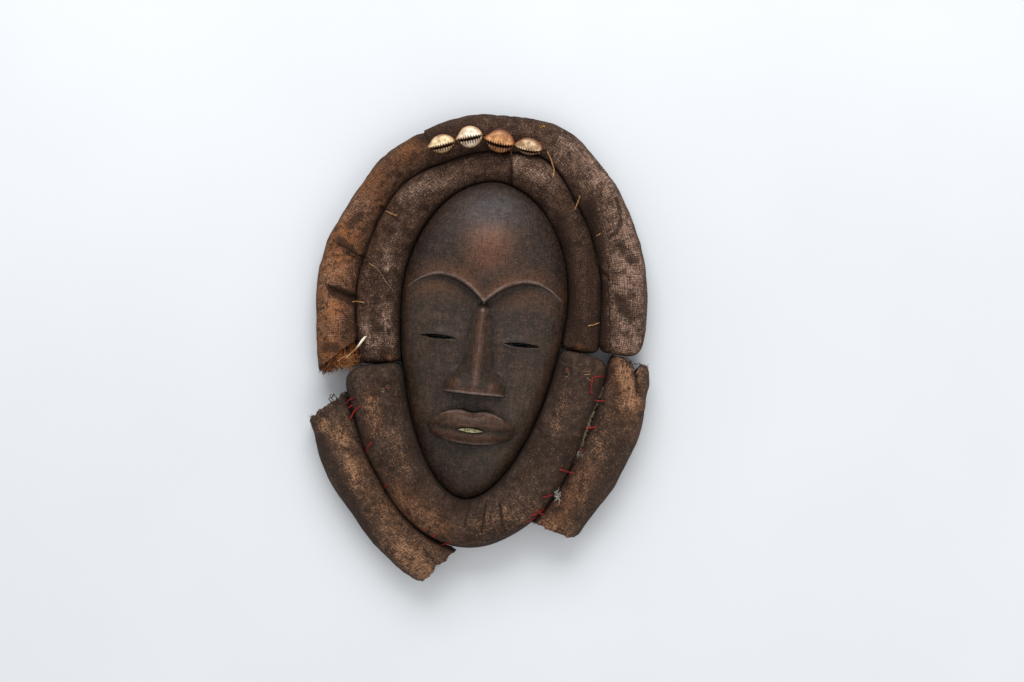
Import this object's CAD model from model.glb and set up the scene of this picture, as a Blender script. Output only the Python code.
"""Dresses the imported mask: carved wood, stuffed and sewn cloth rolls, cowries, threads and straw."""
import math

import bpy
import numpy as np
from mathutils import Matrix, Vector
from mathutils.bvhtree import BVHTree


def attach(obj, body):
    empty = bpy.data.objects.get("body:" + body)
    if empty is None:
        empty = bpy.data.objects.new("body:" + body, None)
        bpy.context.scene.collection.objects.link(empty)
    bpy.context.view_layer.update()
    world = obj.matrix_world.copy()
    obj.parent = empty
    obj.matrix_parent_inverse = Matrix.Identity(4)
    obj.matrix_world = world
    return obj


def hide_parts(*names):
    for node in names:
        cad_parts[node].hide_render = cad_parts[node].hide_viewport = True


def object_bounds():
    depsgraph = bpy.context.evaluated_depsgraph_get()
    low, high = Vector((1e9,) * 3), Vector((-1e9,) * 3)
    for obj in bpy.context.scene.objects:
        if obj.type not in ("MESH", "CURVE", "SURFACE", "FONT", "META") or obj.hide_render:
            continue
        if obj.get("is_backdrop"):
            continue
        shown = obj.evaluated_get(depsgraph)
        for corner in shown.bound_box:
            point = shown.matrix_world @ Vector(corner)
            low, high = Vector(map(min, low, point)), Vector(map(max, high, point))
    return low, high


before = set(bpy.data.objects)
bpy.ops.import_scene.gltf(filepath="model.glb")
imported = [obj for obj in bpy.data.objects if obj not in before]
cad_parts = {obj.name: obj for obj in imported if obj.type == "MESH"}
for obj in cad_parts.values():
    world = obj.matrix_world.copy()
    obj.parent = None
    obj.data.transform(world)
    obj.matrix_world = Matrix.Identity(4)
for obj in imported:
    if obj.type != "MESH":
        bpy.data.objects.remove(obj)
cad_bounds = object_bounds()

# Everything is made in millimetres in the face's own frame: s across, t up the midline, z out of the face.
# The row frame's origin is under the middle of the whole mask, and it is in metres.
MM = 0.001
FACE_IN_ROW = np.array([-1.2853, 35.3925, 0.0])

# The photograph: millimetres for each pixel, the pixel of the oval's origin, and the tilt of the midline.
PIXEL = 0.75
OVAL_PIXEL = (484.3, 303.0)
TILT = math.radians(6)

# The oval of the face, the wooden wall round its back, and what is hollowed out behind it, as in the solids.
FACE_HALF_WIDTH = 62.5
FACE_ABOVE_TEMPLES = 91.0
FACE_BELOW_TEMPLES = 148.0
FACE_HEIGHT = FACE_ABOVE_TEMPLES + FACE_BELOW_TEMPLES
OVAL_SIDE_POWER = 1.9
OVAL_CROWN_POWER = 2.0
OVAL_JAW_POWER = 1.7
RIM_WALL_HEIGHT = 12.0
SHELL_WALL = 9.0
HOLLOW_FOOT = 4.0
CHEEK_HOLLOW = 28.0
FOREHEAD_HOLLOW = 43.0
# The room left between two pieces.
GAP = 0.4

# Textbook thirds and halves, measured down from the crown.
BROW_LINE = FACE_ABOVE_TEMPLES - FACE_HEIGHT / 3
EYE_LINE = FACE_ABOVE_TEMPLES - FACE_HEIGHT / 2
NOSE_BASE = FACE_ABOVE_TEMPLES - FACE_HEIGHT * 2 / 3
MOUTH_LINE = NOSE_BASE - FACE_HEIGHT / 9
EYE_OFFSET = FACE_HALF_WIDTH / 2
EYE_HALF_LENGTH = FACE_HALF_WIDTH / 4.5
EYE_HALF_HEIGHT = 1.7
NOSE_HALF_WIDTH = FACE_HALF_WIDTH * 0.38
MOUTH_HALF_WIDTH = EYE_OFFSET + 1

# How far the carving's forms stand out, and how large they are.
FOREHEAD_RISE = 37.0
FOREHEAD_SWELL = 10.0
CHEEK_RISE = 30.0
CHIN_DROP = 7.0
BROW_PEAK = BROW_LINE + 6
BROW_DIP = 18.0
BROW_TEMPLE_DROP = 15.0
BROW_PEAK_OFFSET = FACE_HALF_WIDTH * 0.54
BROW_EDGE = 3.0
BROW_RIDGE = 0.8
NOSE_TOP_RISE = 7.0
NOSE_TIP_RISE = 20.0
UPPER_LIP_HEIGHT = 16.0
LOWER_LIP_HEIGHT = 11.5
LIP_BOW = 0.14
LIP_RISE = 15.0
MOUTH_SLOT_HALF_LENGTH = 12.0
MOUTH_SLOT_HALF_HEIGHT = 2.2
MOUTH_SLOT_FLOOR = 46.0

# The rolls, as in the solids. Directions are in degrees clockwise from the crown. The radii and the lift off
# what a roll lies beside are (direction, millimetres). Each end is its kind, its length and its slant.
ROLLS = {
    "upper_inner_roll": {
        "from": -131.2,
        "to": 114.4,
        "radii": [
            (-127, 15.6), (-88, 16.4), (-60, 15.6), (-38, 15.6), (-12, 11.6),
            (0, 11.4), (13, 14.4), (32, 12), (88, 12.6), (110, 13.6),
        ],
        "start": ("tucked", 6, 0),
        "end": ("tucked", 6, 0),
    },
    "upper_outer_roll": {
        "beside": "upper_inner_roll",
        "from": -131.0,
        "to": 111.4,
        "radii": [
            (-131, 15.2), (-100, 14.8), (-72, 14.9), (-46, 12.6), (-26, 13), (-12, 13.8),
            (8, 13.2), (20, 13.8), (36, 15.8), (60, 16), (88, 16.6), (108, 16),
        ],
        "start": ("cut", 3, 4),
        "end": ("tucked", 11, 0),
    },
    "chin_roll": {
        "from": 115.0,
        "to": 228.5,
        "radii": [
            (117, 18.4), (152, 18.6), (168, 18.8), (176, 17.8),
            (183, 17), (192, 17.6), (204, 19.4), (222, 21),
        ],
        "start": ("tucked", 9, 0),
        "end": ("tucked", 12, 0),
    },
    "lower_left_roll": {
        "beside": "chin_roll",
        "from": 180.2,
        "to": 218.9,
        "radii": [(180, 14.8), (190, 15.1), (198, 16.8), (215, 16.4)],
        "lift": [(181, 2), (188, 0)],
        "start": ("cut", 4, -22),
        "end": ("cut", 3, -16),
    },
    "lower_right_roll": {
        "beside": "chin_roll",
        "from": 112.0,
        "to": 170.2,
        "radii": [(113, 15), (126, 16.4), (142, 18.4), (156, 17.4), (166, 15.6)],
        "start": ("cut", 3, -3),
        "end": ("cut", 5, -15),
    },
}
# The degrees that a slanted end reaches over, and how far a tucked end leans in, as a share of the radius.
SLANT_SPAN = 14.0
TUCKED_LEAN = 0.6
# How far the upper outer roll's cloth is drawn back from its mouth on its outer side and on its inner side,
# and how much of its length makes up for it.
MOUTH_DRAWN_BACK = (1.5, 20.0)
MOUTH_SPAN = 50.0
# A section: how high its middle lies as a share of its radius, and the power of its rounded square.
FLAT_SHARE = 0.93
SECTION_POWER = 2.5
# The cloth's grid before it is doubled.
CLOTH_PITCH = 2.0


def clamp01(x):
    return np.clip(x, 0, 1)


def mix(a, b, k):
    return a + (b - a) * k


def smooth(x):
    k = clamp01(x)
    return k * k * (3 - 2 * k)


def hump(x, width):
    return np.exp(-((x / width) ** 2))


def in_plane(s, t):
    """Points in the plane that the mask lies on."""
    return np.stack([s, t, 0 * s], -1)


def unit(vectors):
    return vectors / np.maximum(np.linalg.norm(vectors, axis=-1, keepdims=True), 1e-9)


def round_turn(count):
    """The angles of the steps round a circle, in radians."""
    return np.linspace(0, 2 * np.pi, count, endpoint=False)


def gone_along(line):
    """How far along a line each of its points lies."""
    return np.concatenate([[0], np.cumsum(np.linalg.norm(np.diff(line, axis=0), axis=1))])


def along(pairs, x):
    """The value at x of a smooth line through (x, value) pairs, level beyond both ends."""
    places, values = np.array(pairs, float).T
    x = np.clip(x, places[0], places[-1])
    i = np.clip(np.searchsorted(places, x), 1, len(places) - 1)
    share = (x - places[i - 1]) / (places[i] - places[i - 1])
    return mix(values[i - 1], values[i], smooth(share))


# Factors that scramble a cell's place into a value that looks random.
CELL_FACTORS = np.array([374761393, 668265263, 2147483647])
MIXING_FACTOR = 1274126177


def lumps(points, size, seed=0):
    """Smooth noise from -1 to 1 at the points, its lumps about the given size across."""
    place = points / size + seed * 7.31
    cell = np.floor(place).astype(np.int64)
    part = smooth(place - cell)
    total = 0
    for corner in np.ndindex(2, 2, 2):
        key = (cell + corner) @ CELL_FACTORS
        key = (key ^ (key >> 13)) * MIXING_FACTOR
        value = ((key ^ (key >> 16)) & 0xFFFF) / 65535
        total = total + np.prod(np.where(corner, part, 1 - part), -1) * value
    return total * 2 - 1


def from_photo(u, v):
    """The face frame's (s, t) of a pixel of the photograph."""
    x, y = (u - OVAL_PIXEL[0]) * PIXEL, (OVAL_PIXEL[1] - v) * PIXEL
    return np.array([x * math.cos(TILT) - y * math.sin(TILT), x * math.sin(TILT) + y * math.cos(TILT)])


# The oval of the face.
def oval_length(t, inset):
    return np.where(t >= 0, FACE_ABOVE_TEMPLES, FACE_BELOW_TEMPLES) - inset


def oval_power(t):
    return np.where(t >= 0, OVAL_CROWN_POWER, OVAL_JAW_POWER)


def oval_place(s, t, inset=0):
    """0 in the middle of the oval to 1 on its outline and beyond."""
    across = np.abs(s / (FACE_HALF_WIDTH - inset)) ** OVAL_SIDE_POWER
    return np.minimum(1, across + np.abs(t / oval_length(t, inset)) ** oval_power(t))


def oval_half_width(t, inset=0):
    left = 1 - np.abs(t / oval_length(t, inset)) ** oval_power(t)
    return (FACE_HALF_WIDTH - inset) * np.maximum(0, left) ** (1 / OVAL_SIDE_POWER)


def oval_point(phi):
    """The point of the oval's outline in the direction phi, found by halving."""
    angle = np.radians(phi)
    inside, outside = np.zeros_like(angle), np.full_like(angle, FACE_HEIGHT)
    for _ in range(40):
        radius = (inside + outside) / 2
        full = oval_place(radius * np.sin(angle), radius * np.cos(angle)) >= 1
        inside, outside = np.where(full, inside, radius), np.where(full, radius, outside)
    return in_plane(inside * np.sin(angle), inside * np.cos(angle))


# The carved surface.
def brow_curve(s):
    out = np.abs(s) - BROW_PEAK_OFFSET
    inner = BROW_DIP * (out / BROW_PEAK_OFFSET) ** 2
    temple = BROW_TEMPLE_DROP * (out / (FACE_HALF_WIDTH - BROW_PEAK_OFFSET)) ** 2
    return BROW_PEAK - np.where(out < 0, inner, temple)


def lip_tall(s, side):
    return np.where(side > 0, UPPER_LIP_HEIGHT * (1 - LIP_BOW * hump(s, 6)), LOWER_LIP_HEIGHT)


def lip_curve(s, side, inset, least):
    tall = lip_tall(s, side) - inset
    arch = tall * np.sqrt(np.maximum(0, 1 - (s / (MOUTH_HALF_WIDTH - inset)) ** 2))
    return MOUTH_LINE + side * np.maximum(least, arch)


def nose_height(s, t):
    top = brow_curve(0.0)
    down = clamp01((top - t) / (top - NOSE_BASE))
    half = mix(7.5, 16, down) + (NOSE_HALF_WIDTH - 16) * smooth((down - 0.64) / 0.3)
    ridge = mix(NOSE_TOP_RISE, NOSE_TIP_RISE, down ** 1.2)
    wedge = clamp01(1.11 - 1.11 * np.hypot(s / half, 0.1))
    flank = mix(wedge, smooth(wedge), 0.4)
    wings = 6.5 * hump(np.abs(s) - NOSE_HALF_WIDTH * 0.62, 6.5) * hump(t - NOSE_BASE - 6.5, 8)
    tip = 2.5 * hump(s, 8) * hump(t - NOSE_BASE - 6, 9)
    started = smooth((top + 2 - t) / 8)
    ended = smooth((t - NOSE_BASE + 0.8) / 1.6)
    return (ridge * flank + wings + tip) * started * ended


def lip_height(s, t):
    share = clamp01(np.abs(s) / MOUTH_HALF_WIDTH)
    out = np.hypot(share, (t - MOUTH_LINE) / lip_tall(s, t - MOUTH_LINE))
    mass = LIP_RISE * np.maximum(0, 1 - out ** 2.8) ** 0.55
    parting = 3 * hump(t - MOUTH_LINE, 2.2) * (1 - share ** 4)
    corner = 1.6 * hump(np.abs(s) - MOUTH_HALF_WIDTH - 1, 4) * hump(t - MOUTH_LINE, 4)
    return mass * mix(0.5, 1, smooth((1 - share) * 1.5)) - parting - corner


def face_height(s, t):
    place = oval_place(s, t)
    brow = brow_curve(s)
    above = smooth((t - brow) / BROW_EDGE + 0.5)
    chin = CHIN_DROP * smooth((MOUTH_LINE + 12 - t) / 26)
    rise = mix(CHEEK_RISE - chin, FOREHEAD_RISE, above)
    body = rise * np.sqrt(np.maximum(0, 1 - place ** mix(2.4, 1.25, above)))
    swell = FOREHEAD_SWELL * hump(t - FACE_ABOVE_TEMPLES / 2, 34) * hump(s, 40) * above
    ridge = BROW_RIDGE * hump(t - brow - 1, 3)
    lids = 2.2 * hump(np.abs(s) - EYE_OFFSET, 17) * hump(t - EYE_LINE, 11)
    chin_swell = 3.5 * hump(s, 14) * hump(t - MOUTH_LINE + 29, 12)
    features = ridge + lids + chin_swell + nose_height(s, t) + lip_height(s, t)
    return RIM_WALL_HEIGHT + body + swell + features * (1 - place ** 3)


def fine_carving(s, t):
    """What the knife's point leaves: rims round the eye slits, the groove over the lips, tool marks."""
    out = clamp01(1 - ((np.abs(s) - EYE_OFFSET) / (EYE_HALF_LENGTH + 3)) ** 2)
    beside = np.abs(t - EYE_LINE) - (EYE_HALF_HEIGHT + 0.9) * out
    lids = (0.7 * hump(beside, 1.0) - 0.5 * hump(beside - 4, 1.6)) * smooth(out / 0.3)
    groove = 1.1 * hump(s, 3.2) * hump(t - NOSE_BASE + 6.5, 5)
    marks = 0.14 * lumps(in_plane(s, 0.3 * t), 3.2) + 0.24 * lumps(in_plane(s, t), 11, 2)
    return lids - groove + marks


def hollow_height(s, t):
    place = oval_place(s, t, SHELL_WALL)
    chin = CHIN_DROP * smooth((MOUTH_LINE + 20 - t) / 40)
    rise = mix(CHEEK_HOLLOW, FOREHEAD_HOLLOW, smooth((t + 5) / 45)) - chin
    return HOLLOW_FOOT + rise * np.sqrt(np.maximum(0, 1 - place ** 1.7))


def level(t):
    return lambda s: np.full_like(np.asarray(s, float), t)


# The grids' rows: curves from the crown down to the chin, and how many rows there are before the next one.
FACE_ROWS = [
    (level(FACE_ABOVE_TEMPLES * 0.9985), 34),
    (lambda s: brow_curve(s) + 5, 4),
    (lambda s: brow_curve(s) + BROW_EDGE / 2, 5),
    (lambda s: brow_curve(s) - BROW_EDGE / 2, 4),
    (lambda s: brow_curve(s) - 6, 14),
    (level(EYE_LINE), 20),
    (level(NOSE_BASE + 5), 5),
    (level(NOSE_BASE + 0.8), 4),
    (level(NOSE_BASE - 0.8), 7),
    (lambda s: lip_curve(s, 1, -0.5, 3.5), 5),
    (lambda s: lip_curve(s, 1, 2.2, 2.4), 9),
    (level(MOUTH_LINE), 7),
    (lambda s: lip_curve(s, -1, 2.2, 1.8), 5),
    (lambda s: lip_curve(s, -1, -0.5, 3), 32),
    (level(-FACE_BELOW_TEMPLES * 0.9985), 0),
]
HOLLOW_ROWS = [
    (level((FACE_ABOVE_TEMPLES - SHELL_WALL) * 0.995), 26),
    (level(20.0), 18),
    (level(NOSE_BASE), 28),
    (level(-(FACE_BELOW_TEMPLES - SHELL_WALL) * 0.995), 0),
]


def row_curves(bands):
    """One function of s for each row, with rows closer together towards the crown and the chin."""
    curves = []
    for i, (curve, rows) in enumerate(bands[:-1]):
        below = bands[i + 1][0]
        for k in range(rows):
            x = k / rows
            if i == 0:
                x = 1 - math.cos(x * math.pi / 2)
            elif i == len(bands) - 2:
                x = math.sin(x * math.pi / 2)
            curves.append(lambda s, a=curve, b=below, x=x: mix(a(s), b(s), x))
    return curves + [bands[-1][0]]


def oval_sheet(bands, columns, inset):
    """The (s, t) of every point of a grid over the oval, with columns closer together at its sides."""
    share = np.linspace(-1, 1, columns + 1)
    across = np.sign(share) * (np.abs(share) - 0.42 * np.sin(2 * np.pi * np.abs(share)) / (2 * np.pi))
    rows = []
    for curve in row_curves(bands):
        t = curve(across * oval_half_width(curve(0.0), inset))
        rows.append(np.stack([across * oval_half_width(t, inset), t], -1))
    return np.array(rows)


# Meshes.
def mesh_object(name, points, faces):
    mesh = bpy.data.meshes.new(name)
    mesh.from_pydata((np.asarray(points) + FACE_IN_ROW) * MM, [], faces)
    mesh.validate()
    piece = bpy.data.objects.new(name, mesh)
    bpy.context.scene.collection.objects.link(piece)
    return piece


def face_frame_points(piece):
    points = np.zeros(len(piece.data.vertices) * 3)
    piece.data.vertices.foreach_get("co", points)
    return points.reshape(-1, 3) / MM - FACE_IN_ROW


def set_attribute(piece, name, values):
    made = piece.data.attributes.new(name, "FLOAT", "POINT")
    made.data.foreach_set("value", np.asarray(values, np.float32).ravel())


def finish_piece(piece, material, slot, replaced=(), sharp=None):
    """Gives a piece its material and tells the frame of it. Edges steeper than sharp, in degrees, stay so."""
    piece.data.materials.clear()
    piece.data.materials.append(material)
    piece.data.shade_smooth()
    if sharp:
        piece.data.set_sharp_from_angle(angle=math.radians(sharp))
    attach(piece, "root")
    if replaced:
        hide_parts(*replaced)
    return piece


def grid_faces(rows, columns, closed, first=0):
    """Quads of a grid, its normals along (next column) x (next row)."""
    i, j = np.meshgrid(np.arange(rows - 1), np.arange(columns if closed else columns - 1), indexing="ij")
    k = (j + 1) % columns
    corners = [i * columns + j, i * columns + k, (i + 1) * columns + k, (i + 1) * columns + j]
    return (np.stack(corners, -1).reshape(-1, 4) + first).tolist()


def block_under(sheet, heights, foot, name):
    """A closed block with a height field for its top and a level foot."""
    rows, columns = heights.shape
    top = np.dstack([sheet, heights]).reshape(-1, 3)
    bottom = np.dstack([sheet, np.full_like(heights, foot)]).reshape(-1, 3)
    over = np.array(grid_faces(rows, columns, False))[:, ::-1]
    under = over[:, ::-1] + rows * columns
    index = np.arange(rows * columns).reshape(rows, columns)
    edge = np.concatenate([index[0, :-1], index[:-1, -1], index[-1, :0:-1], index[:0:-1, 0]])
    ahead = np.roll(edge, -1)
    side = np.stack([ahead, edge, edge + rows * columns, ahead + rows * columns], -1)
    faces = np.concatenate([over, under, side]).tolist()
    return mesh_object(name, np.concatenate([top, bottom]), faces)


# How far the blocks that cut through the wood reach, below it and above it.
UNDER_ALL = -6
OVER_ALL = 90


def lens_block(s, t, half_length, half_height, foot, name):
    """An upright block with a lens outline."""
    share = np.linspace(-1, 1, 21)
    bow = half_height * (1 - share ** 2)
    outline = np.concatenate([
        np.stack([s + share * half_length, t - bow], -1),
        np.stack([s - share * half_length, t + bow], -1)[1:-1],
    ])
    count = len(outline)
    points = [np.column_stack([outline, np.full(count, z)]) for z in (foot, OVER_ALL)]
    ring = np.arange(count)
    faces = [ring[::-1].tolist(), (ring + count).tolist()]
    ahead = np.roll(ring, -1)
    faces += np.stack([ring, ahead, ahead + count, ring + count], -1).tolist()
    return mesh_object(name, np.concatenate(points), faces)


def cut_away(piece, cutters):
    for cutter in cutters:
        cut = piece.modifiers.new(cutter.name, "BOOLEAN")
        cut.operation = "DIFFERENCE"
        cut.solver = "EXACT"
        cut.object = cutter
    shaped = piece.evaluated_get(bpy.context.evaluated_depsgraph_get())
    result = bpy.data.meshes.new_from_object(shaped)
    piece.modifiers.clear()
    piece.data = result
    for cutter in cutters:
        bpy.data.objects.remove(cutter)


# Strands get slightly different tones, spread by the golden ratio.
TONE_STEP = 0.618
# A direction that no strand follows.
ASKEW = [0.31, 0.17, 0.93]


def tubes(name, strands, sides=6):
    """One mesh of round strands. Each strand is its points and its radius, or a radius for each point."""
    points, faces, tones = [], [], []
    turn = round_turn(sides)[:, None]
    first = 0
    for number, (line, radius) in enumerate(strands):
        run = unit(np.gradient(line, axis=0))
        across = unit(np.cross(run, ASKEW))
        ring = across[:, None] * np.cos(turn) + np.cross(run, across)[:, None] * np.sin(turn)
        skin = (line[:, None] + ring * np.broadcast_to(radius, len(line))[:, None, None]).reshape(-1, 3)
        skin[:, 2] = np.maximum(skin[:, 2], 0)
        last = first + len(skin) - sides
        faces += [face[::-1] for face in grid_faces(len(line), sides, True, first)]
        faces += [list(range(first, first + sides)), list(range(last, last + sides))[::-1]]
        points.append(skin)
        tones.append(np.full(len(skin), number * TONE_STEP % 1))
        first += len(skin)
    piece = mesh_object(name, np.concatenate(points), faces)
    set_attribute(piece, "tone", np.concatenate(tones))
    return piece


# Materials, all built from nodes.
class Recipe:
    """A material in the making. Its methods add nodes and return their output sockets. start, tint and stain
    lay down its colour, each over the colour so far."""

    def __init__(self, name):
        self.material = bpy.data.materials.new(name)
        self.material.use_nodes = True
        self.tree = self.material.node_tree
        self.shader = self.tree.nodes["Principled BSDF"]
        self.place = self.node("ShaderNodeTexCoord", {}, "Object")
        self.colour = None

    def put(self, socket, value):
        if isinstance(value, bpy.types.NodeSocket):
            self.tree.links.new(value, socket)
        else:
            socket.default_value = value

    def node(self, kind, inputs, output=0, **settings):
        made = self.tree.nodes.new(kind)
        for key, value in settings.items():
            setattr(made, key, value)
        for key, value in inputs.items():
            self.put(made.inputs[key], value)
        return made.outputs[output]

    def attribute(self, name, output="Fac"):
        return self.node("ShaderNodeAttribute", {}, output, attribute_name=name)

    def noise(self, scale, detail=4.0, rough=0.55, twist=0.0, turn=0.0, on=None):
        """Noise on the piece, or on a vector of its own. A scale for each direction draws it out."""
        vector = on or self.place
        if isinstance(scale, tuple):
            settings = {"Vector": vector, "Scale": scale, "Rotation": (0, 0, turn)}
            vector, scale = self.node("ShaderNodeMapping", settings), 1.0
        inputs = {"Vector": vector, "Scale": scale, "Detail": detail, "Roughness": rough}
        return self.node("ShaderNodeTexNoise", {**inputs, "Distortion": twist}, "Fac")

    def math(self, operation, a, b=0.0):
        return self.node("ShaderNodeMath", {0: a, 1: b}, operation=operation)

    def plus(self, a, b):
        return self.math("ADD", a, b)

    def times(self, a, b):
        return self.math("MULTIPLY", a, b)

    def ramp(self, value, low, high, to_low=0.0, to_high=1.0):
        inputs = {"Value": value, "From Min": low, "From Max": high, "To Min": to_low, "To Max": to_high}
        return self.node("ShaderNodeMapRange", inputs)

    def blend(self, share, a, b):
        return self.node("ShaderNodeMix", {0: share, 6: a, 7: b}, 2, data_type="RGBA")

    def start(self, value, low, high, a, b):
        self.colour = self.blend(self.ramp(value, low, high), a, b)

    def tint(self, share, colour):
        self.colour = self.blend(share, self.colour, colour)

    def stain(self, value, low, high, most, colour):
        """Lays on a colour by the share most where value is at high, and not at all where it is at low."""
        self.tint(self.ramp(value, low, high, 0.0, most), colour)

    def finish(self, roughness, reliefs, **fixed):
        """Each relief is a height, how far it stands out in metres, and its strength."""
        self.put(self.shader.inputs["Base Color"], self.colour)
        self.put(self.shader.inputs["Roughness"], roughness)
        last = {}
        for height, distance, strength in reliefs:
            inputs = {"Height": height, "Distance": distance, "Strength": strength, **last}
            last = {"Normal": self.node("ShaderNodeBump", inputs, "Normal")}
        self.put(self.shader.inputs["Normal"], last["Normal"])
        for key, value in fixed.items():
            self.shader.inputs[key.replace("_", " ")].default_value = value
        return self.material


def rgb(*channels):
    """A colour from the usual 0 to 255 channels, as the shaders want it."""
    share = np.array(channels) / 255
    linear = np.where(share <= 0.04045, share / 12.92, ((share + 0.055) / 1.055) ** 2.4)
    return (*linear.tolist(), 1.0)


def wood_material():
    """Old dark wood: dirty and dusty, rubbed brown on its swells, pale on its edges, scratched all over."""
    r = Recipe("dark_carved_wood")
    grain = r.noise((300, 22, 140), 5.0, 0.6, 0.5)
    streak = r.noise((1000, 150, 500), 5.0, 0.7, 0.3)
    cross = r.noise((150, 1100, 500), 5.0, 0.7, 0.6, 0.14)
    scuffs = r.noise((260, 700, 300), 5.0, 0.7, 0.8, 0.5)
    clouds = r.noise(24.0, 4.0, 0.6, 0.4)
    stains = r.noise(75.0, 6.0, 0.7, 0.3)
    blots = r.noise(250.0, 5.0, 0.7, 0.4)
    grit = r.noise(1100.0, 3.0, 0.7)
    r.start(clouds, 0.36, 0.62, rgb(36, 27, 20), rgb(64, 48, 37))
    r.stain(grain, 0.4, 0.68, 0.5, rgb(70, 48, 33))
    r.stain(stains, 0.52, 0.64, 0.45, rgb(76, 58, 45))
    r.stain(stains, 0.48, 0.38, 0.5, rgb(26, 19, 15))
    for name, channels in (("warm", (96, 58, 32)), ("dusty", (98, 101, 112)), ("worn", (120, 74, 50))):
        r.tint(r.times(r.attribute(name), r.ramp(stains, 0.3, 0.58, 0.35, 1.0)), rgb(*channels))
    r.tint(r.times(r.attribute("sooty"), r.ramp(blots, 0.3, 0.6, 1.0, 0.7)), rgb(24, 18, 15))
    r.stain(blots, 0.52, 0.64, 0.35, rgb(86, 67, 54))
    r.stain(blots, 0.48, 0.36, 0.45, rgb(27, 19, 14))
    r.stain(scuffs, 0.56, 0.7, 0.25, rgb(104, 86, 72))
    for scratches, share in ((streak, 0.85), (cross, 0.75)):
        patchy = r.ramp(scuffs, 0.35, 0.6, 0.35 * share, share)
        r.tint(r.times(r.ramp(scratches, 0.5, 0.66), patchy), rgb(18, 13, 10))
        patchy = r.ramp(scuffs, 0.42, 0.62, 0.05 * share, 0.45 * share)
        r.tint(r.times(r.ramp(scratches, 0.46, 0.32), patchy), rgb(116, 96, 82))
    r.stain(grit, 0.54, 0.66, 0.45, rgb(98, 77, 63))
    r.stain(grit, 0.46, 0.34, 0.65, rgb(16, 11, 8))
    r.tint(r.times(r.attribute("edges"), r.ramp(blots, 0.36, 0.6, 0.3, 1.0)), rgb(142, 126, 120))
    roughness = r.ramp(r.noise(160.0, 5.0, 0.7), 0.3, 0.7, 0.34, 0.6)
    reliefs = [(grain, 0.0004, 0.35), (cross, 0.0004, 0.5), (streak, 0.0004, 0.4), (stains, 0.0008, 0.35)]
    return r.finish(roughness, reliefs, Specular_IOR_Level=0.27)


# How far the threads of the weave wander, in threads.
WEAVE_WANDER = 0.6


def woven(r, cloth, thread):
    """A plain weave's height: 0 between the threads, and 1 on their crowns, one to each thread's width."""
    drift = r.times(r.noise(90.0, 2.0), WEAVE_WANDER)
    threads = r.node("ShaderNodeVectorMath", {0: cloth, "Scale": 1 / thread}, operation="SCALE")
    split = r.node("ShaderNodeSeparateXYZ", {0: threads}).node
    down, across = (r.math("SINE", r.times(r.plus(split.outputs[k], drift), math.pi)) for k in (0, 1))
    crowns = []
    for own, other, side in ((across, down, 0.5), (down, across, -0.5)):
        over = r.plus(r.times(r.times(other, side), r.math("SIGN", own)), 0.5)
        crowns.append(r.times(over, r.math("ABSOLUTE", own)))
    return r.math("MAXIMUM", *crowns)


def cloth_material(name, dark, middle, warm, light, thread, gaps, cover, pale, roughness):
    """Old woven cloth, stained in blotches, and rubbed light where the rolls stand out. There cover is how
    much of the cloth the light threads take up, and pale is how far the cloth between them has faded.
    thread is a thread's width in millimetres, and gaps is how dark it is between the threads."""
    r = Recipe(name)
    between = tuple(mix(np.array(middle), np.array(light), 0.4).tolist())
    cloth = r.attribute("cloth", "Vector")
    weave = woven(r, cloth, thread)
    blotches = r.noise(50.0, 6.0, 0.66, 0.5)
    mottle = r.noise(190.0, 5.0, 0.72, 0.3)
    flecks = r.noise(420.0, 3.0, 0.6, 0.4)
    fuzz = r.noise(1500.0, 3.0, 0.7)
    runs = r.noise((0.16, 0.85, 1.0), 4.0, 0.7, on=cloth)
    rungs = r.noise((0.85, 0.16, 1.0), 4.0, 0.7, on=cloth)
    grit = r.noise((1.05, 1.05, 1.0), 3.0, 0.75, on=cloth)
    specks = r.noise((0.75, 0.75, 1.0), 2.0, 0.85, on=cloth)
    r.start(blotches, 0.4, 0.6, dark, middle)
    r.stain(mottle, 0.56, 0.44, 0.5, dark)
    r.tint(r.times(r.attribute("warm"), r.ramp(mottle, 0.38, 0.52, 0.2, 1.0)), warm)
    rubbed = r.ramp(r.plus(r.attribute("worn"), r.ramp(mottle, 0.32, 0.68, -0.3, 0.3)), 0.05, 1.0)
    r.tint(r.times(rubbed, pale), between)
    light_threads = r.ramp(r.plus(r.math("MAXIMUM", runs, rungs), r.times(rubbed, cover)), 0.66, 0.79)
    r.tint(r.times(light_threads, r.ramp(grit, 0.36, 0.58, 0.4, 1.0)), light)
    r.tint(r.times(r.ramp(specks, 0.57, 0.66), r.ramp(rubbed, 0.0, 0.5, 0.2, 0.9)), light)
    r.stain(specks, 0.46, 0.34, 0.7, dark)
    r.stain(flecks, 0.62, 0.7, 0.4, warm)
    r.stain(r.plus(r.attribute("soiled"), r.ramp(mottle, 0.32, 0.68, -0.4, 0.4)), 0.3, 0.6, 0.85, dark)
    r.stain(mottle, 0.44, 0.34, 0.55, dark)
    r.stain(r.math("MINIMUM", runs, rungs), 0.44, 0.34, 0.7, rgb(32, 20, 12))
    r.stain(grit, 0.44, 0.3, 0.6, rgb(26, 16, 9))
    open_weave = r.times(r.ramp(weave, 0.1, 0.75, gaps, 0.0), r.ramp(blotches, 0.38, 0.6, 0.35, 1.0))
    r.tint(r.times(open_weave, r.ramp(r.attribute("warm"), 0.2, 0.9, 1.0, 0.25)), rgb(22, 14, 9))
    reliefs = [(mottle, 0.002, 0.4), (weave, 0.0005, 0.9), (grit, 0.0008, 0.7), (fuzz, 0.0003, 0.5)]
    return r.finish(roughness, reliefs, Specular_IOR_Level=0.15)


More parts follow.
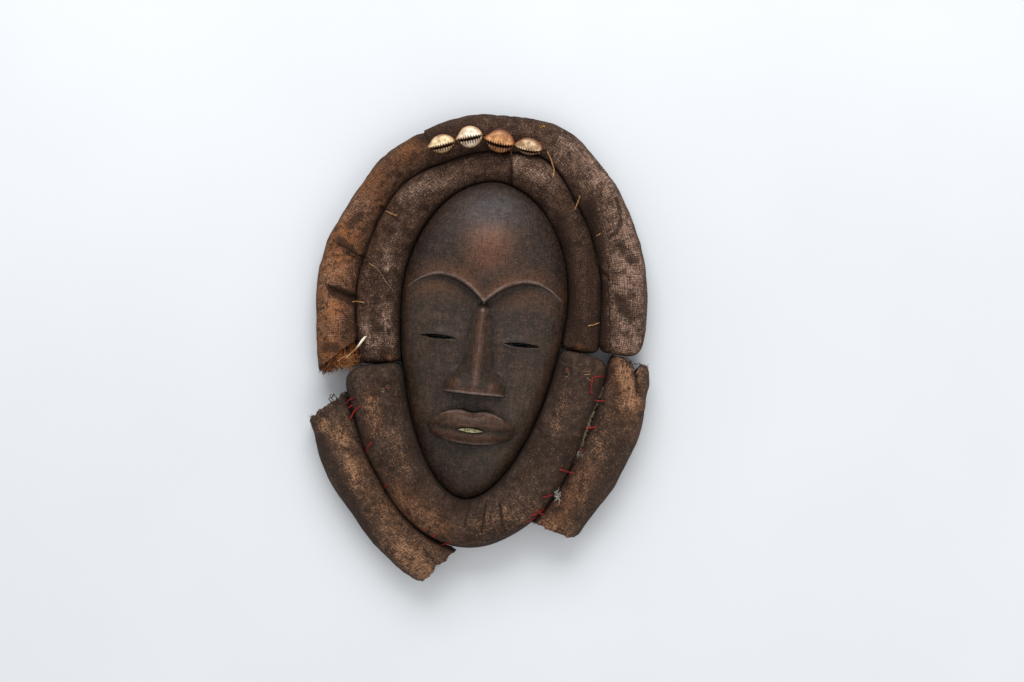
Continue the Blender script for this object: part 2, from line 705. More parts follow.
def fibre_material(name, dark, light, roughness):
    r = Recipe(name)
    ridges = r.noise(2600.0, 3.0, 0.6)
    tone = r.plus(r.noise(180.0, 4.0, 0.6), r.times(r.attribute("tone"), 0.4))
    r.start(tone, 0.45, 0.9, rgb(*dark), rgb(*light))
    r.stain(ridges, 0.5, 0.75, 0.4, rgb(*dark))
    return r.finish(roughness, [(ridges, 0.00015, 0.6)], Specular_IOR_Level=0.3)


def shell_material(name, body, edge, stain):
    r = Recipe(name)
    clouds = r.noise(260.0, 4.0, 0.55)
    specks = r.noise(900.0, 4.0, 0.6)
    r.start(r.attribute("rim"), 0.15, 0.9, body, edge)
    r.stain(clouds, 0.44, 0.62, 0.7, edge)
    r.stain(specks, 0.52, 0.66, 0.5, stain)
    r.tint(r.attribute("slit"), rgb(34, 20, 13))
    return r.finish(r.ramp(specks, 0.35, 0.65, 0.34, 0.55), [(clouds, 0.0003, 0.4)], Specular_IOR_Level=0.4)


def rust_material():
    r = Recipe("rusty_iron")
    bloom = r.noise(700.0, 6.0, 0.7)
    r.start(bloom, 0.38, 0.62, rgb(34, 21, 15), rgb(104, 60, 36))
    return r.finish(0.85, [(bloom, 0.0006, 0.7)], Metallic=0.15)


def packing_material():
    r = Recipe("mouth_packing")
    crumbs = r.noise(800.0, 5.0, 0.7)
    r.start(crumbs, 0.38, 0.62, rgb(84, 74, 50), rgb(168, 162, 122))
    return r.finish(0.95, [(crumbs, 0.0008, 0.8)])


def floor_material():
    r = Recipe("pale_floor")
    r.start(r.noise(3.0, 3.0, 0.5), 0.3, 0.7, rgb(218, 221, 224), rgb(224, 227, 230))
    return r.finish(0.9, [(r.noise(300.0, 3.0, 0.6), 0.0002, 0.2)])


# The carved face.
def hollow_block():
    """What is hollowed out from behind, its surface gouged."""
    sheet = oval_sheet(HOLLOW_ROWS, 60, SHELL_WALL)
    s, t = sheet[..., 0], sheet[..., 1]
    gouged = 0.9 * np.abs(lumps(in_plane(s, 0.5 * t), 9, 5)) + 0.5 * lumps(in_plane(s, t), 21, 6)
    return block_under(sheet, hollow_height(s, t) - gouged, UNDER_ALL + 1, "hollow")


def proud_of(s, t, top, reach):
    """How far the wood at each point stands out over the wood round it, within reach."""
    around = [face_height(s + reach * np.cos(a), t + reach * np.sin(a)) for a in round_turn(8)]
    return top - np.mean(around, 0)


def paint_wood(piece):
    """Where the wood is rubbed, pale on its edges, brown, dusty or sooty."""
    s, t, z = face_frame_points(piece).T
    top = face_height(s, t)
    oval = oval_place(s, t)
    front = smooth((z - top + 3) / 2)
    inside = smooth((0.93 - oval) / 0.18)
    swells, edges = (proud_of(s, t, top, reach) for reach in (4, 1.8))
    from_swell = np.hypot(s, (t - 42) * 0.95)
    over_brow = t - brow_curve(s)
    temples = hump(over_brow + 9, 6) * hump(np.abs(s) - 34, 20)
    crown = 0.8 * smooth((oval - 0.25) / 0.6) * smooth((t + 10) / 30) * smooth((84 - t) / 30)
    beside_swell = (0.8 - 0.25 * smooth(s / 30)) * smooth((from_swell - 15) / 14)
    beside_swell = beside_swell * smooth((over_brow - 6) / 10) * smooth((66 - t) / 20)
    rim = mix(0.35, 0.8, smooth((t + 100) / 60)) * smooth((oval - 0.8) / 0.2)
    dirt = np.max([smooth(-swells / 1.2) * 0.85, crown, beside_swell, rim], 0)
    amounts = {
        "worn": np.maximum(0.45 * smooth((swells - 0.3) / 1.2) * inside, hump(from_swell, 18)) * front,
        "edges": 0.55 * smooth((edges - 0.42) / 0.3) * inside * front,
        "warm": 0.8 * np.maximum(smooth(over_brow / 3) * hump(over_brow - 4, 10), temples) * front,
        "dusty": (0.45 * hump(np.hypot(s / 1.6, t - 68), 12) + 0.05 * smooth((t - 55) / 16)) * front,
        "sooty": dirt * front + 0.45 * (1 - front),
    }
    for name, values in amounts.items():
        set_attribute(piece, name, values)


def carved_face():
    sheet = oval_sheet(FACE_ROWS, 170, 0)
    s, t = sheet[..., 0], sheet[..., 1]
    piece = block_under(sheet, face_height(s, t) + fine_carving(s, t), 0, "carved_mask")
    slits = [
        lens_block(side * EYE_OFFSET, EYE_LINE, EYE_HALF_LENGTH, EYE_HALF_HEIGHT, UNDER_ALL, f"slit_{side}")
        for side in (-1, 1)
    ]
    mouth_size = (MOUTH_SLOT_HALF_LENGTH, MOUTH_SLOT_HALF_HEIGHT)
    mouth = lens_block(0, MOUTH_LINE, *mouth_size, MOUTH_SLOT_FLOOR, "mouth_slot")
    cut_away(piece, [hollow_block(), *slits, mouth])
    paint_wood(piece)
    return finish_piece(piece, wood_material(), "carved_wood", ["carved_face"], sharp=38)


def mouth_packing():
    """Crumbly stuff lodged in the mouth's slot: small lumps, pressed together."""
    margin = GAP + 0.3
    along_s, over_t = np.meshgrid(np.linspace(-1, 1, 61), np.linspace(1, -1, 17), indexing="ij")
    s = along_s * (MOUTH_SLOT_HALF_LENGTH - margin * 4)
    t = MOUTH_LINE + over_t * (MOUTH_SLOT_HALF_HEIGHT - margin) * np.maximum(1 - along_s ** 2, 0.02)
    place = in_plane(s, t)
    heights = MOUTH_SLOT_FLOOR + 4.2 + 0.9 * lumps(place, 1.4, 3) + 0.5 * lumps(place, 0.6, 4)
    piece = block_under(place[..., :2], heights, MOUTH_SLOT_FLOOR + GAP, "mouth_crumbs")
    return finish_piece(piece, packing_material(), "mouth_packing", ["mouth_packing"])


# The rolls' skins.
def roll_offset(name, phi):
    shape = ROLLS[name]
    own = along(shape["radii"], phi) + along(shape.get("lift", [(0, 0), (1, 0)]), phi)
    if "beside" not in shape:
        return GAP + own
    beside = shape["beside"]
    return roll_offset(beside, phi) + along(ROLLS[beside]["radii"], phi) + GAP + own


def outward_from(phi):
    run = unit(oval_point(phi + 0.5) - oval_point(phi - 0.5))
    return in_plane(-run[..., 1], run[..., 0])


def roll_middle(name, phi):
    return oval_point(phi) + outward_from(phi) * roll_offset(name, phi)[..., None]


def roll_tangent(name, phi):
    return unit(roll_middle(name, phi + 1) - roll_middle(name, phi - 1))


def end_rows(kind, length):
    """How far each row of an end lies from its tip, its share of the roll's radius, and how far it has
    moved towards the roll's inner side."""
    if kind == "tucked":
        turn = np.linspace(0.06, np.pi / 2, 8)
        share = np.sin(turn) ** (2 / 3)
        return length * (1 - np.cos(turn) ** (2 / 3)), share, TUCKED_LEAN * (1 - share)
    share = np.linspace(0, 1, 4)
    return share * length, mix(0.9, 1, share), 0 * share


def roll_skin(name):
    """A roll's skin as a grid, its rows round it from its start to its end, its columns from its underside
    over its outer side and its top. Returns the points and each point's place in the cloth."""
    shape = ROLLS[name]
    fine = np.linspace(shape["from"], shape["to"], 900)
    gone = gone_along(roll_middle(name, fine))
    near, near_share, near_inward = end_rows(*shape["start"][:2])
    far, far_share, far_inward = end_rows(*shape["end"][:2])
    count = round((gone[-1] - near[-1] - far[-1]) / CLOTH_PITCH)
    between = np.linspace(near[-1], gone[-1] - far[-1], count)
    run = np.concatenate([near[:-1], between, gone[-1] - far[-2::-1]])
    share = np.concatenate([near_share[:-1], np.ones(count), far_share[-2::-1]])[:, None]
    inward = np.concatenate([near_inward[:-1], np.zeros(count), far_inward[-2::-1]])[:, None]
    phi = np.interp(run, gone, fine)
    full = along(shape["radii"], phi)[:, None]
    columns = 2 * round(math.pi * float(np.mean(full)) / CLOTH_PITCH)
    turn = round_turn(columns) - np.pi / 2
    slant = shape["end"][2] * np.maximum(0, 1 - (shape["to"] - phi) / SLANT_SPAN)
    slant = slant - shape["start"][2] * np.maximum(0, 1 - (phi - shape["from"]) / SLANT_SPAN)
    pressed = np.abs(np.cos(turn)) ** SECTION_POWER + np.abs(np.sin(turn)) ** SECTION_POWER
    pressed = pressed ** (-1 / SECTION_POWER)
    sideways = full * (share * np.cos(turn) * pressed - inward)
    points = roll_middle(name, phi)[:, None] + outward_from(phi)[:, None] * sideways[..., None]
    points = points + roll_tangent(name, phi)[:, None] * (slant[:, None] * (1 + np.cos(turn)) / 2)[..., None]
    points[..., 2] = np.maximum(0, full * (FLAT_SHARE + share * np.sin(turn) * pressed))
    cloth = np.stack(np.meshgrid(run, np.mean(full) * (turn + np.pi / 2), indexing="ij"), -1)
    return points, cloth


def drawn_back(turn):
    """How far the cloth of the upper outer roll is drawn back from its mouth, at an angle round the roll."""
    return mix(*MOUTH_DRAWN_BACK, (1 - np.cos(turn)) / 2)


def opened_mouth(points, cloth):
    """The skin with its first rows drawn back, most on the roll's inner side, so that the straw shows."""
    columns = points.shape[1]
    gone = cloth[:, 0, 0]
    drawn = drawn_back(round_turn(columns) - np.pi / 2)
    gone = gone[:, None]
    wanted = np.where(gone < MOUTH_SPAN, drawn + gone * (1 - drawn / MOUTH_SPAN), gone)
    made = np.empty_like(points)
    for j, k in np.ndindex(columns, 3):
        made[:, j, k] = np.interp(wanted[:, j], gone[:, 0], points[:, j, k])
    return made, np.dstack([wanted, cloth[..., 1]])


def skin_normals(points):
    across = np.roll(points, -1, 1) - np.roll(points, 1, 1)
    return unit(np.cross(across, np.gradient(points, axis=0)))


def end_direction(points, end, rows):
    """The direction out of an end of a roll, as seen from a number of rows further in."""
    return unit(points[end].mean(0) - points[rows if end == 0 else end - rows].mean(0))


def doubled(points, closed):
    """The grid with a smooth row between each two rows, or a column between each two columns round it."""
    if closed:
        turned = doubled(np.concatenate([points[:, -2:], points, points[:, :3]], 1).swapaxes(0, 1), False)
        return turned.swapaxes(0, 1)[:, 4:-5]
    padded = np.concatenate([2 * points[:1] - points[1:2], points, 2 * points[-1:] - points[-2:-1]])
    middle = (9 * (padded[1:-2] + padded[2:-1]) - padded[:-3] - padded[3:]) / 16
    made = np.empty((2 * len(points) - 1, *points.shape[1:]))
    made[0::2], made[1::2] = points, middle
    return made


# Places on the cloth, as lines between two pixels of the photograph: x, y, x, y, then the reach and the
# depth in millimetres, or for a colour how strong it is. A depth below zero is a bulge.
DENTS = [
    (520, 166, 530, 176, 6.0, -1.0), (412, 138, 420, 152, 6.0, -0.9), (350, 247, 360, 252, 3.0, -0.8),
    (358, 270, 352, 282, 6.0, -1.2), (344, 312, 350, 324, 5.0, -0.7), (326, 345, 336, 352, 5.0, 1.0),
    (388, 190, 394, 204, 6.0, -1.0), (598, 246, 600, 262, 4.0, -1.2), (389, 386, 389, 386, 4.5, 1.8),
    (566, 371, 566, 371, 5.0, 1.8), (641, 368, 644, 386, 4.5, -1.5), (611, 372, 616, 392, 7.0, 0.8),
    (343, 398, 352, 416, 5.0, 0.9), (322, 412, 330, 424, 4.0, -0.8), (560, 160, 572, 180, 3.0, 0.8),
    (470, 140, 474, 152, 5.0, 0.7), (398, 158, 384, 174, 6.0, -0.8), (588, 160, 600, 176, 6.0, -0.8),
    (560, 470, 548, 486, 6.0, -0.8), (392, 470, 404, 462, 2.2, 0.8),
]
# Folds: the cloth on one side of the line hangs over a hollow on the other. The hollow is below a line
# that runs to the right, and to the left of one that runs down. Then the reach and the depth.
FOLDS = [
    (332, 286, 354, 295, 4.5, 4.0), (352, 374, 357, 398, 2.2, 1.2), (338, 243, 366, 258, 2.6, 1.7),
    (346, 252, 366, 262, 2.0, 1.2), (336, 262, 366, 263, 1.6, 0.9), (512, 158, 513, 190, 3.0, 2.2),
    (420, 124, 432, 144, 2.6, 1.9), (382, 206, 400, 221, 2.4, 1.5), (366, 186, 380, 196, 2.2, 0.9),
    (378, 222, 372, 250, 1.8, 1.0), (357, 304, 355, 332, 1.6, 0.9), (618, 204, 620, 224, 2.0, 0.9),
    (620, 224, 612, 236, 2.0, 0.9), (594, 236, 597, 264, 1.8, 1.7), (597, 264, 606, 275, 1.8, 1.7),
    (608, 262, 609, 350, 1.6, 1.3), (618, 246, 634, 250, 2.0, 0.9), (452, 490, 436, 506, 2.2, 0.9),
    (464, 494, 451, 515, 1.8, 1.1), (472, 498, 466, 523, 2.4, 1.5), (480, 500, 470, 528, 1.6, 1.0),
    (487, 502, 483, 531, 2.0, 2.1), (493, 503, 490, 519, 1.4, 1.3), (500, 501, 504, 526, 2.4, 1.6),
    (509, 500, 513, 516, 1.6, 1.2), (517, 497, 529, 511, 2.2, 1.0), (452, 487, 440, 512, 2.2, 0.8),
    (424, 466, 410, 482, 2.0, 0.8), (636, 371, 638, 392, 2.4, 2.6), (436, 563, 424, 548, 2.2, 1.4),
]
PATCHES = {
    "worn": [
        (405, 192, 462, 178, 7, 0.5), (389, 246, 389, 268, 3, 0.75), (364, 322, 372, 342, 4, 0.65),
        (386, 306, 392, 344, 4, 0.65), (370, 345, 388, 334, 5, 0.6), (515, 160, 550, 182, 7, 0.9),
        (566, 150, 612, 190, 15, 0.75), (612, 190, 636, 262, 15, 0.9), (627, 262, 628, 342, 16, 1.0),
        (352, 222, 366, 204, 7, 0.35), (330, 330, 334, 262, 10, 0.36), (343, 214, 362, 200, 9, 0.35),
        (398, 498, 426, 524, 11, 0.6), (372, 398, 378, 426, 6, 0.75), (392, 430, 404, 470, 8, 0.4),
        (480, 522, 532, 504, 10, 0.6), (562, 404, 556, 424, 6, 0.5), (325, 424, 344, 440, 5, 0.8),
        (344, 440, 362, 484, 5, 0.9), (362, 484, 384, 520, 5, 0.2), (390, 540, 430, 572, 9, 0.75),
        (620, 368, 632, 402, 8, 1.0), (606, 420, 584, 492, 8, 0.3), (548, 528, 562, 534, 9, 0.8),
    ],
    "warm": [
        (330, 345, 332, 270, 15, 1.0), (332, 270, 352, 220, 15, 1.0), (352, 220, 380, 178, 13, 0.8),
        (380, 178, 410, 148, 11, 0.5), (398, 498, 440, 530, 14, 0.6), (372, 398, 378, 426, 7, 0.6),
        (620, 368, 640, 430, 13, 0.6), (584, 470, 548, 532, 10, 0.55), (344, 440, 430, 572, 12, 0.35),
        (578.5, 344, 578.5, 349, 1.8, 1.0), (390, 356, 391, 360, 1.6, 0.6),
    ],
    "soiled": [
        (338, 292, 353, 299, 5, 1.2), (350, 226, 360, 216, 5, 0.7), (324, 300, 330, 330, 4, 0.35),
        (348, 320, 344, 340, 5, 0.4), (340, 240, 352, 250, 4, 0.7), (338, 348, 326, 348, 5, 0.7),
        (616, 200, 619.5, 212, 2.2, 0.7), (619.5, 212, 620, 224, 2.2, 0.8), (620, 224, 616, 233, 2.2, 0.8),
        (616, 233, 608, 238, 2.2, 0.7), (594, 236, 597, 264, 2.0, 0.9), (597, 264, 606, 275, 2.0, 0.9),
        (590, 205, 600, 262, 6, 0.7), (618, 245, 632, 262, 5, 0.7), (618, 300, 628, 318, 6, 0.7),
        (601, 284, 602, 345, 5, 0.9), (420, 140, 470, 128, 9, 0.5), (560, 220, 578, 340, 9, 0.6),
        (590, 250, 592, 345, 7, 0.5), (322, 440, 372, 540, 7, 0.6), (620, 440, 590, 500, 8, 0.4),
        (440, 470, 420, 450, 9, 0.4),
    ],
}


# Nicks in the cut edges: the pixel, the reach, and how far the edge is drawn back there, in millimetres.
NICKS = [
    (635, 364, 3.2, 7.0), (652, 367, 3.5, 3.0), (436, 563, 3.6, 4.0), (462, 546, 3.0, 2.0),
    (318, 414, 3.0, 1.5), (579, 540, 3.0, 2.0),
]
# How far into a roll a nick in its end is felt.
NICK_SPAN = 14


def nicked(points, gone, open_ends):
    """How far each point moves for the nicks in the cut edges of a roll."""
    moves = np.zeros_like(points)
    for end in open_ends:
        share = 1 - smooth(np.abs(gone - gone[end]) / NICK_SPAN)
        for u, v, reach, depth in NICKS:
            away = np.hypot(*(points[end, :, :2] - from_photo(u, v)).T)
            moves -= (share * hump(away, reach) * depth)[..., None] * end_direction(points, end, 8)
    return moves


def folded(points, line):
    """How deep a fold dents the cloth: a hollow on one side of its line, and a swell on the other."""
    start, end = from_photo(*line[:2]), from_photo(*line[2:4])
    length = np.linalg.norm(end - start)
    run = (end - start) / length
    offset = points[..., :2] - start
    beyond = np.maximum(0, np.abs(offset @ run - length / 2) - length / 2 + 2)
    below = offset @ np.array([run[1], -run[0]])
    steep = np.where(below > 0, 1, -0.45) * np.exp(-np.abs(below) / line[4])
    return steep * line[5] * hump(beyond, 4)


def near_line(points, line):
    """How near each point is to a line between two pixels, seen from in front: 1 on it, and 0 far off."""
    start, end = from_photo(*line[:2]), from_photo(*line[2:4])
    run = end - start
    gone = clamp01((points[..., :2] - start) @ run / max(run @ run, 1e-9))
    away = points[..., :2] - start - gone[..., None] * run
    return hump(np.linalg.norm(away, axis=-1), line[4])


def painted(points, name):
    return np.max([near_line(points, line) * line[5] for line in PATCHES[name]], axis=0)


def axes_at(heading):
    """The directions forwards and outwards at each heading."""
    forward = in_plane(np.cos(heading), np.sin(heading))[:, None]
    return forward, in_plane(-forward[..., 1], forward[..., 0])


# The shells sewn on the upper outer roll: s, t, half length, half width, turn in degrees, how far the slit
# lies below the shell's middle, and how far it bows.
COWRIES = [
    (-44.2, 114.5, 10.8, 6.7, 20, 0.24, -0.14), (-24.3, 122.1, 10.2, 7.8, 17, 0.12, -0.06),
    (-1.6, 122.5, 11.8, 8.6, -7, 0.14, -0.14), (22.3, 120.9, 11, 6.4, -4, 0.26, -0.1),
]
# About how high each shell stands.
COWRIE_HEIGHT = 8.0


def under_shells(points):
    """1 where a shell lies on the cloth, and 0 away from them."""
    spots = [hump(np.hypot(points[..., 0] - s, points[..., 1] - t), 12) for s, t, *_ in COWRIES]
    return np.max(spots, axis=0) * (points[..., 2] > 12)


# The cloth's filling out, as a simulation. It runs at a hundred times the real size, a tenth of a metre for
# each millimetre, because the solver's forces suit a cloth of that size.
SIM_SCALE = 0.1
SIM_FRAMES = 22
# How much of its bend the roll got only when it was sewn on, how much larger its cloth was cut than its
# skin, and the most that the cloth may move.
GATHER = 0.5
GROWTH = 1.08
MOST_MOVED = 3.4
# Points held less than this are left free.
LEAST_HELD = 0.02


def cut_shape(points):
    """The skin as its cloth was cut: longer and less bent than the roll, so that bending gathers it."""
    middle = points.mean(1)
    middle[:, 2] = 0
    run = np.gradient(middle, axis=0)
    heading = np.unwrap(np.arctan2(run[:, 1], run[:, 0]))
    eased = heading[0] + (heading - heading[0]) * (1 - GATHER)
    steps = np.linalg.norm(np.diff(middle, axis=0), axis=1)[:, None] * GROWTH
    line = np.zeros_like(middle)
    line[1:] = np.cumsum(axes_at((eased[1:] + eased[:-1]) / 2)[0][:, 0] * steps, axis=0)
    offset = points - middle[:, None]
    made = offset * [0, 0, 1]
    for old, new in zip(axes_at(heading), axes_at(eased)):
        made = made + (offset * old).sum(-1, keepdims=True) * new
    return line[:, None] + made * GROWTH


# The solver's settings that make the cloth gather and fill out.
CLOTH_SETTINGS = {
    "quality": 6,
    "mass": 0.15,
    "tension_stiffness": 25,
    "compression_stiffness": 25,
    "shear_stiffness": 8,
    "bending_stiffness": 0.2,
    "tension_damping": 8,
    "compression_damping": 8,
    "use_pressure": True,
    "uniform_pressure_force": 3,
    "vertex_group_mass": "held",
    "pin_stiffness": 1,
}


def filled_out(points, held):
    """The skin after its cloth has buckled and filled out round its stuffing. held is 1 where it is sewn."""
    rows, columns = points.shape[:2]
    mesh = bpy.data.meshes.new("sim")
    mesh.from_pydata((points * SIM_SCALE).reshape(-1, 3), [], grid_faces(rows, columns, True))
    piece = bpy.data.objects.new("sim", mesh)
    bpy.context.scene.collection.objects.link(piece)
    piece.shape_key_add(name="made")
    cut = piece.shape_key_add(name="cut")
    cut.data.foreach_set("co", (cut_shape(points) * SIM_SCALE).ravel())
    cut.value = 0
    group = piece.vertex_groups.new(name="held")
    for index, weight in enumerate(held.ravel()):
        if weight > LEAST_HELD:
            group.add([index], float(weight), "REPLACE")
    cloth = piece.modifiers.new("cloth", "CLOTH")
    for key, value in CLOTH_SETTINGS.items():
        setattr(cloth.settings, key, value)
    cloth.settings.rest_shape_key = cut
    cloth.settings.effector_weights.gravity = 0
    cloth.collision_settings.use_collision = False
    scene = bpy.context.scene
    for step in range(1, SIM_FRAMES + 1):
        scene.frame_set(step)
    shaped = piece.evaluated_get(bpy.context.evaluated_depsgraph_get())
    found = np.zeros(rows * columns * 3)
    shaped.data.vertices.foreach_get("co", found)
    scene.frame_set(1)
    bpy.data.objects.remove(piece)
    moved = found.reshape(points.shape) / SIM_SCALE - points
    size = np.linalg.norm(moved, axis=-1, keepdims=True)
    return points + moved * MOST_MOVED * np.tanh(size / MOST_MOVED) / np.maximum(size, 1e-9)


def degrees_round(columns):
    """The angle of each column of a skin round its roll: 0 on the roll's outer side, and 90 on its top."""
    return np.arange(columns) / columns * 360 - 90


def sewn(points, cloth):
    """Where the cloth is held: on what the roll lies on and beside, under the shells, and at its ends."""
    turn = degrees_round(points.shape[1])
    beside = np.maximum(hump(turn - 15, 24), hump(turn - 165, 24))
    below = (points[..., 2] < 2.5) * 1.0
    from_end = np.minimum(cloth[:, 0, 0], cloth[-1, 0, 0] - cloth[:, 0, 0])
    held = np.broadcast_arrays(below, 0.75 * beside, hump(from_end, 3.5)[:, None], under_shells(points))
    return np.max(held, axis=0)


def marks(points):
    """How deep the dents and the folds go at each point."""
    depth = sum(near_line(points, line) * line[5] for line in DENTS)
    depth = depth + sum(folded(points, line) for line in FOLDS)
    return depth * smooth((points[..., 2] - 6) / 10)


def stuffing_swell(points, cloth, creased):
    """How the lumps of the stuffing and the cloth's small creases raise each point."""
    swell = 1.3 * lumps(points, 15, 1) + 0.6 * lumps(points, 6, 2) + 0.15 * lumps(points, 2.4, 3)
    wrinkled = smooth(0.4 + 1.4 * lumps(points, 26, 14))
    folds = np.dstack([cloth[..., 0] / 8, cloth[..., 1] / 24, points[..., 2] / 50])
    return swell - creased * wrinkled * hump(lumps(folds, 1, 4), 0.22)


def roll_paint(points, turn, crowded, depth, faded):
    """How worn, how warm in colour and how soiled the cloth is at each point."""
    blotchy = 0.75 + 0.4 * lumps(points, 9, 11) + 0.2 * lumps(points, 4, 12)
    upward = smooth((skin_normals(points)[..., 2] - 0.15) / 0.6)
    under = smooth(0.2 - 1.5 * np.sin(np.radians(turn)))
    shaded = mix(0.3, 0.8, np.maximum(crowded, under)) * (1 - upward) + 0.75 * smooth(depth / 1.5)
    return {
        "worn": (painted(points, "worn") + faded * upward) * blotchy,
        "warm": painted(points, "warm") * (0.75 + 0.5 * lumps(points, 16, 13)),
        "soiled": np.maximum(painted(points, "soiled"), shaded),
    }


def lay_cloth(piece, faces, cloth, pitch):
    """Gives each corner of each face its place in the cloth. The faces that close the skin run on."""
    place = cloth.reshape(-1, 2)[np.array(faces)]
    closing = (place[..., 1].max(1) - place[..., 1].min(1)) > 2 * pitch
    past = cloth.shape[1] * pitch
    place[closing, :, 1] = np.where(place[closing, :, 1] < pitch, past, place[closing, :, 1])
    made = piece.data.attributes.new("cloth", "FLOAT_VECTOR", "CORNER")
    made.data.foreach_set("vector", np.dstack([place, 0 * place[..., :1]]).astype(np.float32).ravel())


def stuffed_roll(name, material, slot, open_ends, faded, creased):
    """A roll of stuffed cloth. open_ends are the ends with a cut edge: 0 its start, -1 its end. faded is how
    worn the cloth is all over its top, and creased is how deep its small creases are."""
    points, cloth = roll_skin(name)
    points = filled_out(points, sewn(points, cloth))
    points = doubled(doubled(points, False), True)
    gone = doubled(cloth, False)[:, :1, 0]
    columns = points.shape[1]
    pitch = (cloth[0, 1, 1] - cloth[0, 0, 1]) / 2
    cloth = np.dstack(np.broadcast_arrays(gone, np.arange(columns)[None] * pitch))
    if name == "upper_outer_roll":
        points, cloth = opened_mouth(points, cloth)
    points = points + nicked(points, gone, open_ends)
    turn = degrees_round(columns)
    outer = hump(turn, 32)
    crowded = np.maximum(hump(turn - 180, 32), outer * (name in ("upper_inner_roll", "chin_roll")))
    depth = marks(points)
    from_end = np.minimum(gone, gone[-1] - gone)
    swell = stuffing_swell(points, cloth, creased) * smooth(from_end / 6) * (1 - under_shells(points))
    relief = mix(swell * (1 - 0.5 * outer) - depth, 0.15, crowded) * smooth(points[..., 2] / 4)
    points = points + skin_normals(points) * relief[..., None]
    points[..., 2] = np.maximum(points[..., 2], 0)
    paint = roll_paint(points, turn, crowded, depth, faded)
    points, cloth, paint = closed_off(points, cloth, paint, open_ends)
    faces = grid_faces(len(points), columns, True)
    piece = mesh_object(name.replace("_roll", "_stuffed_roll"), points.reshape(-1, 3), faces)
    lay_cloth(piece, faces, cloth, pitch)
    for key, values in paint.items():
        set_attribute(piece, key, clamp01(values))
    finish_piece(piece, material, slot, [name])
    return piece


# The rings that close an end: how deep each lies in it, and its share of the rim. An open end has a
# turned-in edge and a dark inside.
OPEN_RINGS = [(0.6, 0.94), (2.5, 0.92), (7.0, 0.88), (7.2, 0.4), (7.2, 0.02)]
TUCKED_RINGS = [(-0.05, 0.5), (-0.1, 0.02)]


def with_row(grid, row, end):
    return np.concatenate((row, grid) if end == 0 else (grid, row))


def closed_off(points, cloth, paint, open_ends):
    """Adds the rings that close each end, and frays the rim of an open one."""
    for end in (0, -1):
        rim = points[end]
        centre = rim.mean(0)
        run = end_direction(points, end, 1)
        if end in open_ends:
            ragged = 1.0 * lumps(rim, 1.6, 21) + 0.7 * lumps(rim, 4, 22)
            points[end] = rim + run * ragged[:, None]
        for depth, share in OPEN_RINGS if end in open_ends else TUCKED_RINGS:
            ring = centre + (rim - centre) * share - run * depth
            ring[:, 2] = np.maximum(ring[:, 2], 0.2)
            points = with_row(points, ring[None], end)
            cloth = with_row(cloth, cloth[[end]] + [depth if end == 0 else -depth, 0], end)
            for key, values in paint.items():
                dark = 1.0 if key == "soiled" and depth > 1 else 0.3
                paint[key] = with_row(values, np.full_like(values[:1], dark), end)
    return points, cloth, paint


# What lies on the rolls and the face is dropped on them from this high.
DROP_HEIGHT = 200


class Ground:
    """The skins of some pieces, as what strands come to lie on."""

    def __init__(self, pieces):
        points, faces = [], []
        for piece in pieces:
            first = len(points)
            points += [Vector(p) for p in face_frame_points(piece)]
            faces += [[first + i for i in face.vertices] for face in piece.data.polygons]
        self.tree = BVHTree.FromPolygons(points, faces)

    def height(self, s, t):
        hit = self.tree.ray_cast(Vector((s, t, DROP_HEIGHT)), Vector((0, 0, -1)))[0]
        return hit.z if hit else 0.0

    def drape(self, line, lift, pull=80):
        """A strand over the pixels of a line, pulled straight where the surface falls away beneath it. pull
        is how many times it is drawn straighter."""
        flat = np.array([from_photo(u, v) for u, v in line])
        gone = gone_along(flat)
        at = np.linspace(0, gone[-1], max(6, int(gone[-1] / 0.5)))
        path = np.column_stack([np.interp(at, gone, flat[:, k]) for k in range(2)])
        least = np.array([self.height(s, t) for s, t in path]) + lift
        z = least.copy()
        for _ in range(pull):
            z[1:-1] = np.maximum(least[1:-1], (z[:-2] + z[2:]) / 2)
        return np.column_stack([path, z])


# How far a twisted strand goes for each turn.
TWIST_LENGTH = 3.2


def twisted(line, strands, radius, seed):
    """The line as a few strands that wind round each other and dive in at both ends."""
    chance = np.random.default_rng(seed)
    gone = np.linspace(0, 1, len(line))
    across = unit(np.cross(np.gradient(line, axis=0), [0, 0, 1.0]))
    length = gone_along(line)[-1]
    spread = radius * 0.95
    ends = 1 - smooth(np.minimum(gone, 1 - gone) * length / 1.2)
    made = []
    for k in range(strands):
        angle = 2 * np.pi * (k / strands + gone * length / TWIST_LENGTH) + chance.uniform(0, 0.5)
        path = line + across * (np.cos(angle) * spread)[:, None]
        path[:, 2] += np.sin(angle) * spread * 0.8 - ends * 1.5
        made.append((path, radius * (chance.uniform(0.85, 1.1) + 0.2 * lumps(path, 1.5, seed))))
    return made


# Stitches and loose threads, as pixels of the photograph that each runs over.
RED_STITCHES = {
    "red_thread_left": [
        [(346, 404), (351, 399), (358, 396)],
        [(349, 408), (354, 404)],
        [(351, 419), (355, 411), (362, 405)],
        [(367, 452), (369, 446), (373.5, 441)],
        [(384, 487.5), (388.5, 482.5)],
        [(403.5, 514), (407, 511)],
        [(423, 529.5), (427.5, 527)],
        [(431, 536), (436, 534)],
        [(440.5, 545), (446, 543), (452.5, 542.5)],
    ],
    "red_thread_right": [
        [(590.5, 394), (590.5, 386), (591.5, 377.5), (598, 376), (604.5, 376)],
        [(594, 400), (600, 400.5), (606, 401)],
        [(585, 428.5), (590, 427), (596.5, 426.5)],
        [(577.5, 450.5), (583, 449)],
        [(559, 468), (565, 470), (574, 473)],
        [(542, 495.5), (547, 495), (552.5, 493.5)],
        [(529.5, 514), (536, 512.5), (543.5, 509.5)],
        [(534, 514), (539, 511), (545, 507)],
        [(526, 521), (530, 519), (533, 516)],
        [(537, 509), (541, 513), (544, 514)],
        [(533, 517.5), (537, 517)],
    ],
}
